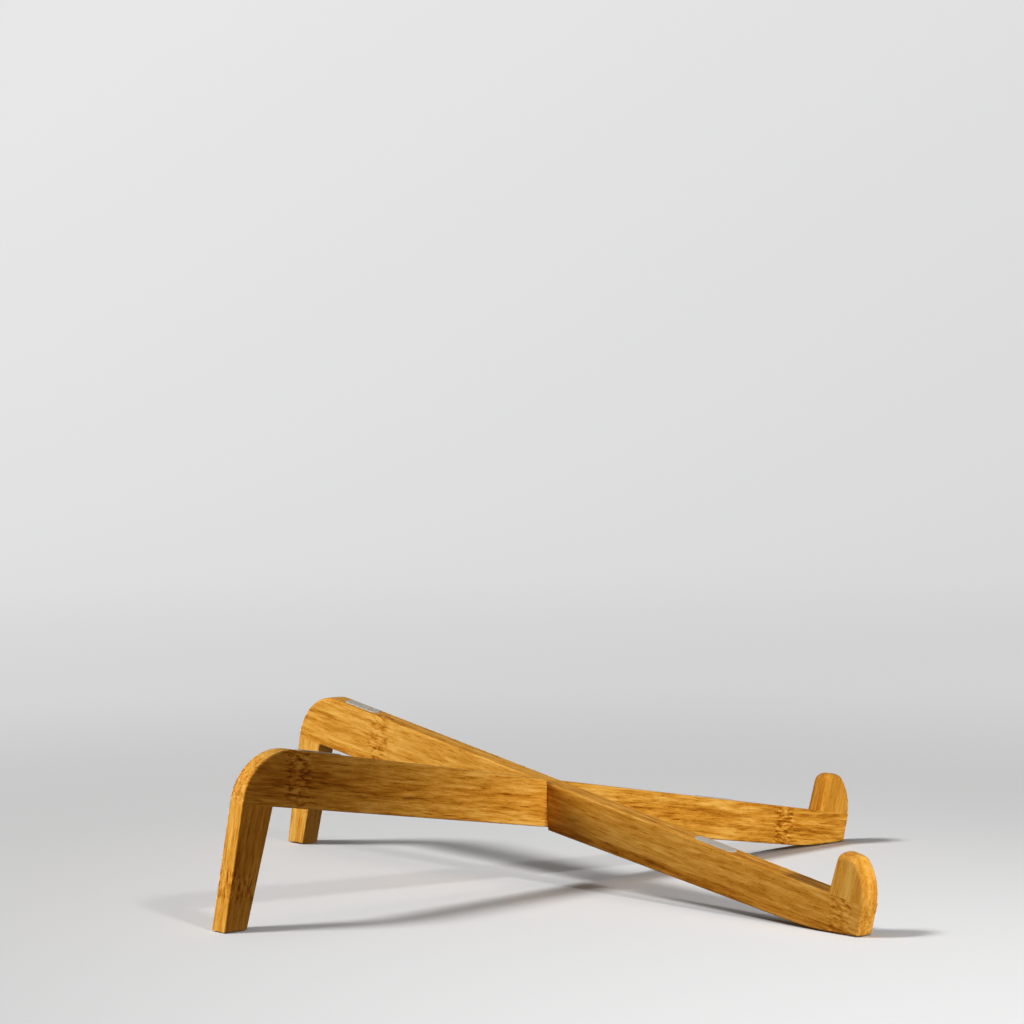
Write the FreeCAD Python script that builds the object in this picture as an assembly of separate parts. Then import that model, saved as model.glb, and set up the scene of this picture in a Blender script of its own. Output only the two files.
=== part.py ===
import FreeCAD, Part
import math
import os

# A laptop stand of two upright bamboo bars that cross in a half-lap joint, like an X seen from above.
# Each bar is a beam with a leg glued under its rear end and a hook glued on its front end.
#
# Row frame: +X points to the front of the stand, +Z up, and z = 0 is the table. The origin is on the
# table, under the middle of the whole stand. A bar is drawn in its own upright plane, with s along
# the bar from the crossing towards the hook and z up, and is then turned about Z and put in place.
#
# Driving dimensions, in millimetres and degrees.
REAR_LENGTH = 157.5         # from the crossing to a bar's rear end
FRONT_LENGTH = 165.1        # from the crossing to its front end
BOARD = 8.2                 # thickness of the bamboo board
CROSSING_ANGLE = 44.0       # from the front direction to each bar
LAPTOP_TILT = 13.9          # slope of the plane that the laptop rests on, falling to the front
TOP_AT_CROSSING = 40.9      # height of a beam's top edge at the crossing
UNDER_AT_CROSSING = 22.3    # height of its bottom edge there
UNDER_FALL = 8.9            # slope of the bottom edge, falling to the front

LEG_REAR_LEAN = 10.8        # the leg's rear edge, from upright
LEG_INNER_LEAN = 15.7       # the leg's inner edge, from upright
FOOT_WIDTH = 9.9            # of the leg, at the table
SHOULDER_RADIUS = 20.0      # between the leg's rear edge and the beam's top edge
BELLY_RADIUS = 160.0        # where the beam's bottom edge runs out onto its front foot
BEAM_END_LEAN = 15.5        # the beam's front end, from upright

HOOK_HEEL = 148.5           # from the crossing to the foot of the hook's inner face
HOOK_HEIGHT = 16.4          # of the hook's top edge above the beam's top edge, upright
HOOK_INNER_LEAN = 16.3      # the inner face leans away from the laptop
HOOK_BACK_RADIUS = 19.0     # the rounded outer side
HOOK_BACK_LOW = 14.0        # the outer side leans forward by this at its base
HOOK_BACK_HIGH = 33.0       # and back by this where it meets the top edge
HOOK_TIP_RADIUS = 4.0
HOOK_BROW_RADIUS = 4.0

LAP_CLEARANCE = 0.15        # between the halves of the lap, on each side and at its floor
DOWEL_RADIUS = 2.0
DOWEL_HOLE_RADIUS = 2.02
DOWEL_HOLE_SPARE = 0.5      # room for glue past each end of a dowel
LEG_DOWEL_LENGTH = 20.0
HOOK_DOWEL_LENGTH = 14.0

PAD_PROUD = 0.4             # every silicone pad stands this far out of its pocket
PAD_POCKET_GAP = 0.1        # round the pad's rim
FOOT_PAD_RADIUS = 3.0
FOOT_PAD_THICKNESS = 1.4
FRONT_FOOT_PAD_AT = 157.7   # from the crossing
REST_PAD_LENGTH = 20.0      # over its round ends
REST_PAD_WIDTH = 5.0
REST_PAD_THICKNESS = 1.2
REAR_REST_PAD_AT = -112.0
FRONT_REST_PAD_AT = 90.0

# Worked out from them.
BAR_SLOPE = math.degrees(math.atan(math.tan(math.radians(LAPTOP_TILT))
                                   * math.cos(math.radians(CROSSING_ANGLE))))
WOOD_BOTTOM = PAD_PROUD
LAP_HEIGHT = (TOP_AT_CROSSING + UNDER_AT_CROSSING) / 2
REACH = REAR_LENGTH + FRONT_LENGTH      # longer than anything that it cuts
HOOK_BULGE = HOOK_BACK_RADIUS * (1 - math.cos(math.radians(HOOK_BACK_LOW)))     # past the beam's end
CROSSING_X = (REAR_LENGTH - FRONT_LENGTH - HOOK_BULGE) / 2 * math.cos(math.radians(CROSSING_ANGLE))
SAME_POINT = 1e-6           # points closer than this are one point


def top_height(s):
    """Height of a beam's top edge at s."""
    return TOP_AT_CROSSING - s * math.tan(math.radians(BAR_SLOPE))


def under_height(s):
    """Height of a beam's straight bottom edge at s."""
    return UNDER_AT_CROSSING - s * math.tan(math.radians(UNDER_FALL))


def leaning(degrees):
    """Direction up a line that leans to the front by an angle from upright."""
    return (math.sin(math.radians(degrees)), math.cos(math.radians(degrees)))


def falling(degrees):
    """Direction to the front along a line that falls by an angle from level."""
    return (math.cos(math.radians(degrees)), -math.sin(math.radians(degrees)))


def meet(point_a, along_a, point_b, along_b):
    """The point where two lines of the bar's plane cross."""
    gap = (point_b[0] - point_a[0], point_b[1] - point_a[1])
    turn = along_a[0] * along_b[1] - along_a[1] * along_b[0]
    reach = (gap[0] * along_b[1] - gap[1] * along_b[0]) / turn
    return (point_a[0] + reach * along_a[0], point_a[1] + reach * along_a[1])


def rounded_outline(corners):
    """A closed wire in the bar's plane through corners (s, z, radius), each one an arc or sharp."""
    points = [FreeCAD.Vector(s, 0, z) for s, z, radius in corners]
    starts, ends, middles = [], [], []
    for i, (s, z, radius) in enumerate(corners):
        back = (points[i - 1] - points[i]).normalize()
        ahead = (points[(i + 1) % len(points)] - points[i]).normalize()
        half = back.getAngle(ahead) / 2
        trim = radius / math.tan(half)
        to_centre = (back + ahead).normalize()
        starts.append(points[i] + back * trim)
        ends.append(points[i] + ahead * trim)
        middles.append(points[i] + to_centre * (radius / math.sin(half) - radius))
    edges = []
    for i, (s, z, radius) in enumerate(corners):
        if radius > 0:
            edges.append(Part.Arc(starts[i], middles[i], ends[i]).toShape())
        next_start = starts[(i + 1) % len(corners)]
        if ends[i].distanceToPoint(next_start) > SAME_POINT:
            edges.append(Part.LineSegment(ends[i], next_start).toShape())
    return Part.Wire(edges)


def board_piece(corners):
    """A piece of board with this outline, standing in the bar's plane."""
    side = Part.Face(rounded_outline(corners))
    piece = side.extrude(FreeCAD.Vector(0, BOARD, 0))
    piece.translate(FreeCAD.Vector(0, -BOARD / 2, 0))
    return piece


def rear_heel():
    """The foot of the leg's rear edge."""
    return (-REAR_LENGTH, WOOD_BOTTOM)


def rear_glue_end():
    """Where the leg's glue line meets the rear edge."""
    return meet(rear_heel(), leaning(LEG_REAR_LEAN), (0, under_height(0)), falling(UNDER_FALL))


def leg_inner_edge():
    """Foot and top of the leg's inner edge."""
    foot = (-REAR_LENGTH + FOOT_WIDTH, WOOD_BOTTOM)
    top = meet(foot, leaning(LEG_INNER_LEAN), (0, under_height(0)), falling(UNDER_FALL))
    return foot, top


def beam():
    """The long piece, from the round shoulder over the leg to the front foot."""
    glue_end = rear_glue_end()
    shoulder = meet(rear_heel(), leaning(LEG_REAR_LEAN), (0, top_height(0)), falling(BAR_SLOPE))
    end_top = (FRONT_LENGTH, top_height(FRONT_LENGTH))
    end_bottom = meet(end_top, leaning(BEAM_END_LEAN), (0, WOOD_BOTTOM), falling(0))
    belly = meet((0, under_height(0)), falling(UNDER_FALL), (0, WOOD_BOTTOM), falling(0))
    return board_piece([
        (*glue_end, 0),
        (*shoulder, SHOULDER_RADIUS),
        (*end_top, 0),
        (*end_bottom, 0),
        (*belly, BELLY_RADIUS),
    ])


def leg():
    """The leg, wider at its glue line than at its foot."""
    inner_foot, inner_top = leg_inner_edge()
    return board_piece([
        (*rear_heel(), 0),
        (*rear_glue_end(), 0),
        (*inner_top, 0),
        (*inner_foot, 0),
    ])


def hook():
    """The hook, with a flat inner face, a rounded outer side and rounded upper corners."""
    heel = (HOOK_HEEL, top_height(HOOK_HEEL))
    toe = (FRONT_LENGTH, top_height(FRONT_LENGTH))
    half_turn = math.radians(HOOK_BACK_LOW + HOOK_BACK_HIGH) / 2
    rise = HOOK_BACK_RADIUS * math.tan(half_turn)
    low = leaning(HOOK_BACK_LOW)
    back = (toe[0] + rise * low[0], toe[1] + rise * low[1])
    top = (0, top_height(0) + HOOK_HEIGHT)
    brow = meet(back, leaning(-HOOK_BACK_HIGH), top, falling(BAR_SLOPE))
    tip = meet(heel, leaning(HOOK_INNER_LEAN), top, falling(BAR_SLOPE))
    return board_piece([
        (*heel, 0),
        (*tip, HOOK_TIP_RADIUS),
        (*brow, HOOK_BROW_RADIUS),
        (*back, HOOK_BACK_RADIUS),
        (*toe, 0),
    ])


def dowel_line(s, height, lean, length, radius):
    """A round rod whose middle is at (s, height), leaning with the joint that it crosses."""
    along = FreeCAD.Vector(math.sin(math.radians(lean)), 0, math.cos(math.radians(lean)))
    start = FreeCAD.Vector(s, 0, height) - along * (length / 2)
    return Part.makeCylinder(radius, length, start, along)


def leg_dowel(length=LEG_DOWEL_LENGTH, radius=DOWEL_RADIUS):
    """The dowel square to the leg's glue line, at its middle."""
    inner_top = leg_inner_edge()[1]
    s = (rear_glue_end()[0] + inner_top[0]) / 2
    return dowel_line(s, under_height(s), UNDER_FALL, length, radius)


def hook_dowel(length=HOOK_DOWEL_LENGTH, radius=DOWEL_RADIUS):
    """The dowel square to the hook's glue line, at its middle."""
    s = (HOOK_HEEL + FRONT_LENGTH) / 2
    return dowel_line(s, top_height(s), BAR_SLOPE, length, radius)


def dowel_holes():
    """Both dowel holes of a bar, a little wider and longer than their dowels."""
    spare = 2 * DOWEL_HOLE_SPARE
    leg_hole = leg_dowel(LEG_DOWEL_LENGTH + spare, DOWEL_HOLE_RADIUS)
    hook_hole = hook_dowel(HOOK_DOWEL_LENGTH + spare, DOWEL_HOLE_RADIUS)
    return leg_hole, hook_hole


def foot_pad(s, gap=0.0):
    """A round silicone foot under a bar; with a gap it is the pocket's cutter."""
    return Part.makeCylinder(FOOT_PAD_RADIUS + gap, FOOT_PAD_THICKNESS, FreeCAD.Vector(s, 0, 0))


def rest_pad(s, gap=0.0):
    """A silicone strip with round ends, let into the beam's top edge."""
    radius = REST_PAD_WIDTH / 2 + gap
    half = (REST_PAD_LENGTH - REST_PAD_WIDTH) / 2
    strip = Part.makeBox(2 * half, 2 * radius, REST_PAD_THICKNESS, FreeCAD.Vector(-half, -radius, 0))
    ends = [Part.makeCylinder(radius, REST_PAD_THICKNESS, FreeCAD.Vector(x, 0, 0)) for x in (-half, half)]
    pad = strip.fuse(ends).removeSplitter()
    pad.translate(FreeCAD.Vector(0, 0, PAD_PROUD - REST_PAD_THICKNESS))
    pad.rotate(FreeCAD.Vector(0, 0, 0), FreeCAD.Vector(0, 1, 0), BAR_SLOPE)
    pad.translate(FreeCAD.Vector(s, 0, top_height(s)))
    return pad


def lap_slot(own_angle, other_angle, open_at_top):
    """What a bar's half of the lap removes: the crossing bar's own path, with clearance."""
    width = BOARD + 2 * LAP_CLEARANCE
    bottom = LAP_HEIGHT - LAP_CLEARANCE if open_at_top else LAP_HEIGHT + LAP_CLEARANCE - REACH
    slot = Part.makeBox(REACH, width, REACH, FreeCAD.Vector(-REACH / 2, -width / 2, bottom))
    slot.rotate(FreeCAD.Vector(0, 0, 0), FreeCAD.Vector(0, 0, 1), other_angle - own_angle)
    return slot


def bar_pieces(own_angle, other_angle, open_at_top):
    """Every piece of one bar, in the bar's own plane."""
    leg_hole, hook_hole = dowel_holes()
    rear_foot = -REAR_LENGTH + FOOT_WIDTH / 2
    beam_cuts = [
        leg_hole,
        hook_hole,
        foot_pad(FRONT_FOOT_PAD_AT, PAD_POCKET_GAP),
        rest_pad(REAR_REST_PAD_AT, PAD_POCKET_GAP),
        rest_pad(FRONT_REST_PAD_AT, PAD_POCKET_GAP),
        lap_slot(own_angle, other_angle, open_at_top),
    ]
    return {
        "beam": beam().cut(beam_cuts),
        "leg": leg().cut([leg_hole, foot_pad(rear_foot, PAD_POCKET_GAP)]),
        "hook": hook().cut(hook_hole),
        "leg_dowel": leg_dowel(),
        "hook_dowel": hook_dowel(),
        "rear_rest_pad": rest_pad(REAR_REST_PAD_AT),
        "front_rest_pad": rest_pad(FRONT_REST_PAD_AT),
        "rear_foot_pad": foot_pad(rear_foot),
        "front_foot_pad": foot_pad(FRONT_FOOT_PAD_AT),
    }


def main():
    os.makedirs("parts", exist_ok=True)
    bars = [("lower", CROSSING_ANGLE, True), ("upper", -CROSSING_ANGLE, False)]
    for name, angle, open_at_top in bars:
        for piece, shape in bar_pieces(angle, -angle, open_at_top).items():
            shape.rotate(FreeCAD.Vector(0, 0, 0), FreeCAD.Vector(0, 0, 1), angle)
            shape.translate(FreeCAD.Vector(CROSSING_X, 0, 0))
            shape.exportStep("parts/" + name + "_" + piece + ".step")


main()
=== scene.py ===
import math
from collections import namedtuple

import bmesh
import bpy
import numpy as np
from mathutils import Euler, Matrix, Vector


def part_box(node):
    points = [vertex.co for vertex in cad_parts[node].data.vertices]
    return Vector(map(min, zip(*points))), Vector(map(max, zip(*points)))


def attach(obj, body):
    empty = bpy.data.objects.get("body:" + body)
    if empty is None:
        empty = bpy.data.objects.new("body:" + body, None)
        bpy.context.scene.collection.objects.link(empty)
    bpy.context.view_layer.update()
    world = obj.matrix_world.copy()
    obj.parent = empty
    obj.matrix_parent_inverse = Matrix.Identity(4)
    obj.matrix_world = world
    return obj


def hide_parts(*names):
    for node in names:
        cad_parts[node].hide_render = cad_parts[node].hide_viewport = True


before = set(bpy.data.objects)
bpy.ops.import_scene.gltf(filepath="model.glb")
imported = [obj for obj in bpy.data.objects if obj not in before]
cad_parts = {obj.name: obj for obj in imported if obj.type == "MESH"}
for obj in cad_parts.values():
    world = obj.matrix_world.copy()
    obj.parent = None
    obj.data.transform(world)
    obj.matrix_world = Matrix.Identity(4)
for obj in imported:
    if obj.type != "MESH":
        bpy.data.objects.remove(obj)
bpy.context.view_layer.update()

bl_info = {
    "name": "Crossed Bamboo Laptop Stand",
    "version": (1, 0, 0),
    "blender": (4, 5, 0),
    "location": "View3D > Sidebar > Laptop Stand",
    "description": "Makes the bamboo, silicone and studio of a laptop stand of two crossed bars",
    "category": "Object",
}

# The stand is two upright bars that cross in a half lap. A bar is drawn in its own plane, with s
# along the bar from the crossing towards the hook, z up, and y across the board.
MM = 0.001
BARS = ("lower", "upper")
SAME_POINT = 1e-7           # points closer than this, in metres, are one point
BOX_SLACK = 1.0 * MM        # how far an eased piece may fall short of its CAD node's box

ARC_STEP = math.radians(3.0)    # the largest turn between two points of a rounded corner
ARC_CHORD = 1.5 * MM        # and the largest distance between them
SMOOTH_TURN = 0.2           # sine of the largest turn at which an outline counts as smooth
EASE_STEPS = 7              # across an eased edge
SUPPORT = 0.12 * MM         # flat border beside an eased edge, which keeps its shading off the flats
EASE_RUN_OUT = 0.8 * MM     # length over which an eased edge starts beside a glued face
CIRCLE_STEPS = 64
SHARP_ANGLE = math.radians(32.0)    # between faces, above which an edge is shaded sharp


# ---------------------------------------------------------------- settings

def length(name, description, millimetres):
    """A length property, with its default in millimetres."""
    return bpy.props.FloatProperty(
        name=name, description=description, default=millimetres * MM, precision=5,
        unit="LENGTH", subtype="DISTANCE")


def angle(name, description, degrees):
    """An angle property, with its default in degrees."""
    return bpy.props.FloatProperty(
        name=name, description=description, default=math.radians(degrees), subtype="ANGLE")


def colour(name, description, red, green, blue):
    """A colour property."""
    return bpy.props.FloatVectorProperty(
        name=name, description=description, default=(red, green, blue), size=3, min=0, max=1,
        subtype="COLOR")


def amount(name, description, value, highest=10.0):
    """A plain number property."""
    return bpy.props.FloatProperty(
        name=name, description=description, default=value, min=0.0, max=highest)


class StandSizes(bpy.types.PropertyGroup):
    """Driving sizes of a bar."""

    rear_length: length("Rear length", "From the crossing to a bar's rear end", 157.5)
    front_length: length("Front length", "From the crossing to a bar's front end", 165.1)
    board: length("Board", "Thickness of the bamboo board", 8.2)
    laptop_tilt: angle("Laptop tilt", "Slope of the plane that a laptop rests on", 13.9)
    top_at_crossing: length("Top at crossing", "Height of a beam's top edge there", 40.9)
    under_at_crossing: length("Underside at crossing", "Height of its bottom edge there", 22.3)
    under_fall: angle("Underside fall", "Slope of a beam's bottom edge", 8.9)
    leg_rear_lean: angle("Leg rear lean", "The leg's rear edge, from upright", 10.8)
    leg_inner_lean: angle("Leg inner lean", "The leg's inner edge, from upright", 15.7)
    foot_width: length("Foot width", "Width of the leg at the table", 9.9)
    shoulder_radius: length("Shoulder radius", "Between the leg's rear and the beam's top", 20.0)
    belly_radius: length("Belly radius", "Where the bottom edge runs out to the foot", 160.0)
    beam_end_lean: angle("Beam end lean", "The beam's front end, from upright", 15.5)
    hook_heel: length("Hook heel", "From the crossing to the foot of the hook's inner face", 148.5)
    hook_height: length("Hook height", "The hook's top above the beam's top, upright", 16.4)
    hook_inner_lean: angle("Hook inner lean", "The hook's inner face, from upright", 16.3)
    hook_back_radius: length("Hook back radius", "The rounded outer side of the hook", 19.0)
    hook_back_low: angle("Hook back, low", "Forward lean of the outer side at its base", 14.0)
    hook_back_high: angle("Hook back, high", "Backward lean of the outer side at its top", 33.0)
    hook_tip_radius: length("Hook tip radius", "Between the inner face and the top", 4.0)
    hook_brow_radius: length("Hook brow radius", "Between the top and the outer side", 4.0)
    lap_clearance: length("Lap clearance", "Between the halves of the lap joint", 0.15)
    pad_proud: length("Pad stand-out", "How far a silicone pad stands out of its pocket", 0.4)
    pocket_gap: length("Pocket gap", "Between a pad's rim and its pocket", 0.1)
    foot_pad_thickness: length("Foot pad thickness", "Of a silicone foot", 1.4)
    rest_pad_length: length("Rest pad length", "Of a silicone rest, over its round ends", 20.0)
    rest_pad_width: length("Rest pad width", "Of a silicone rest", 5.0)
    rest_pad_thickness: length("Rest pad thickness", "Of a silicone rest", 1.2)
    dowel_hole_radius: length("Dowel hole radius", "Of the glued joints' dowel holes", 2.02)
    dowel_hole_spare: length("Dowel hole spare", "Room past each end of a dowel", 0.5)
    leg_dowel_length: length("Leg dowel length", "Of the dowel in the leg's glue joint", 20.0)
    hook_dowel_length: length("Hook dowel length", "Of the dowel in the hook's glue joint", 14.0)
    edge_radius: length("Edge radius", "Rounding of the bamboo's outer edges", 0.6)
    pad_edge_radius: length("Pad edge radius", "Rounding of the silicone's rims", 0.3)


class StandFinishes(bpy.types.PropertyGroup):
    """Colours and pattern sizes of the finishes."""

    bamboo_deep: colour("Bamboo, deep", "Darkest fibres and nodes", 0.20, 0.055, 0.003)
    bamboo_dark: colour("Bamboo, dark", "Dark fibres", 0.41, 0.150, 0.008)
    bamboo_mid: colour("Bamboo, middle", "Most of the wood", 0.61, 0.272, 0.030)
    bamboo_light: colour("Bamboo, light", "Palest pith between the fibres", 0.79, 0.435, 0.092)
    strip_width: length("Strip width", "Width of a laminated bamboo strip", 4.8)
    dowel_dark: colour("Dowel, dark", "Grain lines of the dowels", 0.46, 0.31, 0.16)
    dowel_light: colour("Dowel, light", "Wood of the dowels", 0.70, 0.54, 0.33)
    silicone: colour("Silicone", "Milky silicone of the pads", 0.44, 0.41, 0.36)
    silicone_dust: colour("Silicone dust", "Dust and handling marks on the pads", 0.33, 0.31, 0.27)


class StandStudio(bpy.types.PropertyGroup):
    """Floor, backdrop, lights and camera."""

    floor: colour("Floor", "Pale floor under the stand", 0.80, 0.80, 0.80)
    near_tone: colour("Near tone", "Backdrop where it leaves the floor", 0.645, 0.645, 0.65)
    far_tone: colour("Far tone", "Backdrop at its top", 0.80, 0.80, 0.80)
    key: amount("Key light", "Power of the light from the left, in watts", 4.9, 100.0)
    kicker: amount("Kicker light", "Power of the light on the front pieces, in watts", 54.0, 100.0)
    window: amount("Window light", "Strength of the floor's even light from the left", 2.2)
    pool: amount("Pool light", "Power of the light on the floor in front, in watts", 27.0, 100.0)
    overhead: amount("Overhead light", "Power of the broad light above, in watts", 3.5, 100.0)
    bounce: amount("Bounce light", "Power of the warm light from the camera's side, in watts", 1.75)
    bounce_tone: colour("Bounce tone", "Colour of the bounce light", 1.0, 0.68, 0.22)
    ambient: amount("Ambient light", "Strength of the even light all round", 0.08)
    lens: amount("Lens", "Focal length in millimetres, on a sensor 36 mm wide", 112.16, 300.0)


# ---------------------------------------------------------------- shapes in a bar's plane

Corner = namedtuple("Corner", "s z radius ease slant extra",
                    defaults=(0.0, (1.0, 1.0), (0.0, 0.0), 0.0))
# ease is the share of the full edge rounding on the edges before and after a corner: 1 on most outer
# edges and 0 on a glued one. slant is how far the corner moves in s and z per metre across the
# board. extra is the share that is added at the middle of a round corner.

LAP_EASE = 0.3              # share of the edge rounding in the lap's slot
LEG_EASE = 0.85             # along the leg
END_EASE = 0.6              # on the beam's front end, which is left crisp
SHOULDER_EXTRA = 1.1        # the hands' worn shoulder
HOOK_EASE = 2.0             # at the foot of the hook's outer side
HOOK_INNER_EASE = 2.2       # at the foot of its inner face
HOOK_NECK_EASE = 3.3        # where both sides reach the rounded top
HOOK_TOP_EASE = 4.6         # over its brow and tip, which are crowned
CROWN = 270.0               # how much wider than deep a large easing is, per metre of it


def falling(turn):
    """Unit direction to the front that falls by an angle from level."""
    return np.array([math.cos(turn), -math.sin(turn)])


def leaning(turn):
    """Unit direction upwards that leans to the front by an angle from upright."""
    return np.array([math.sin(turn), math.cos(turn)])


def meet(point_a, along_a, point_b, along_b):
    """The point where two lines cross, from each line's point and direction."""
    gap = np.subtract(point_b, point_a)
    turn = along_a[0] * along_b[1] - along_a[1] * along_b[0]
    reach = (gap[0] * along_b[1] - gap[1] * along_b[0]) / turn
    return np.add(point_a, reach * along_a)


def rounded_outline(corners):
    """A closed anticlockwise outline: arrays of points, easing before and after, and slants.

    A round corner is an arc: its centre plus radius times (cos a, sin a), with a turning evenly from
    the normal of the edge before the corner to the normal of the edge after it.
    """
    flat = np.array([(c.s, c.z) for c in corners])
    before = flat - np.roll(flat, 1, 0)
    before /= np.linalg.norm(before, axis=1, keepdims=True)
    after = np.roll(before, -1, 0)
    heading = np.arctan2(before[:, 1], before[:, 0])
    turns = np.arctan2(
        before[:, 0] * after[:, 1] - before[:, 1] * after[:, 0], (before * after).sum(1))
    rows = []
    for i, c in enumerate(corners):
        steps = 0
        if c.radius:
            steps = math.ceil(max(turns[i] / ARC_STEP, turns[i] * c.radius / ARC_CHORD))
        share = np.linspace(0, 1, steps + 1)
        normal = heading[i] - math.pi / 2 + share * turns[i]
        first_normal = np.array([math.cos(normal[0]), math.sin(normal[0])])
        centre = flat[i] - before[i] * c.radius * math.tan(turns[i] / 2) - first_normal * c.radius
        points = centre + c.radius * np.stack([np.cos(normal), np.sin(normal)], 1)
        ease = c.ease[0] + share * (c.ease[1] - c.ease[0]) + c.extra * np.sin(math.pi * share)
        ease_out = ease if steps else np.array([c.ease[1]])
        slant = np.tile(c.slant, (steps + 1, 1))
        rows.append(np.column_stack([points, ease, ease_out, slant]))
    table = np.concatenate(rows)
    step = np.linalg.norm(table[:, :2] - np.roll(table[:, :2], 1, 0), axis=1)
    return table[step > SAME_POINT]


def inset_moves(points, depth_in, depth_out):
    """How far each point of an outline moves when its edges move inwards by their depths.

    A point's move m satisfies m . n = -depth for the outward normal n and the depth of the edge on
    each side of it. Where the outline runs smoothly the two normals are nearly one, and the move is
    along their mean by the mean depth.
    """
    after = np.roll(points, -1, 0) - points
    after /= np.linalg.norm(after, axis=1, keepdims=True)
    n_out = np.stack([after[:, 1], -after[:, 0]], 1)
    n_in = np.roll(n_out, 1, 0)
    cross = n_in[:, 0] * n_out[:, 1] - n_in[:, 1] * n_out[:, 0]
    smooth = np.abs(cross) < SMOOTH_TURN
    safe = np.where(smooth, 1.0, cross)
    at_corner = np.stack([
        (depth_out * n_in[:, 1] - depth_in * n_out[:, 1]) / safe,
        (depth_in * n_out[:, 0] - depth_out * n_in[:, 0]) / safe], 1)
    mean = n_in + n_out
    mean /= np.linalg.norm(mean, axis=1, keepdims=True)
    reach = (depth_in + depth_out) / 2 / (mean * n_in).sum(1)
    return np.where(smooth[:, None], -mean * reach[:, None], at_corner)


def eased_prism(table, thickness, radius):
    """A closed prism on an outline, with rounded rims: points (s, across, z), quads and two caps.

    Each ring is the outline moved inwards by d and put at height t across the board. Along a rim,
    d = r (1 - sin a) and t = thickness / 2 - w (1 - cos a) for a from 0 to a right angle, with r the
    radius times the outline's own easing there, and w = r (1 + crown (r - radius)), so that a large
    easing crowns the edge, up to nearly half the thickness. One more ring on each flat borders the
    rounding.
    """
    points = table[:, :2]
    ease_in = table[:, 2] * radius
    ease_out = table[:, 3] * radius
    widest = np.maximum(ease_in, ease_out)
    crowned = widest * (1 + CROWN * np.maximum(widest - radius, 0))
    wide = np.minimum(crowned, thickness / 2 - 2 * SUPPORT)
    border = np.where(widest > 0, SUPPORT, 0.0)
    rings = [(inset_moves(points, ease_in + SUPPORT, ease_out + SUPPORT),
              np.full(len(points), thickness / 2))]
    for a in np.linspace(0, math.pi / 2, EASE_STEPS + 1):
        share = 1 - math.sin(a)
        rings.append((inset_moves(points, ease_in * share, ease_out * share),
                      thickness / 2 - wide * (1 - math.cos(a))))
    rings.append((np.zeros_like(points), thickness / 2 - wide - border))
    rings += [(move, -height) for move, height in reversed(rings)]
    moves = np.array([move for move, height in rings])
    across = np.array([height for move, height in rings])
    flat = points[None] + moves + table[None, :, 4:6] * across[:, :, None]
    vertices = np.stack([flat[:, :, 0], across, flat[:, :, 1]], 2).reshape(-1, 3)

    count = len(points)
    here = np.arange(count)
    ahead = np.roll(here, -1)
    ring = np.arange(len(rings) - 1)[:, None] * count
    quads = np.stack([ring + here, ring + ahead, ring + count + ahead, ring + count + here], 2)
    caps = [here[::-1].tolist(), (here + (len(rings) - 1) * count).tolist()]
    return vertices, quads.reshape(-1, 4).tolist() + caps


def circle(radius):
    """A round outline."""
    a = np.linspace(0, 2 * math.pi, CIRCLE_STEPS, endpoint=False)
    ones, zeros = np.ones_like(a), np.zeros_like(a)
    return np.column_stack([radius * np.cos(a), radius * np.sin(a), ones, ones, zeros, zeros])


def obround(over_all, width):
    """An outline with straight sides and half-round ends, fully eased."""
    half, radius = over_all / 2, width / 2
    return rounded_outline([
        Corner(-half, -radius, radius), Corner(half, -radius, radius),
        Corner(half, radius, radius), Corner(-half, radius, radius)])


# ---------------------------------------------------------------- one bar's outlines

Dowel = namedtuple("Dowel", "middle lean reach")     # lean from upright, reach from end to end


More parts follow.
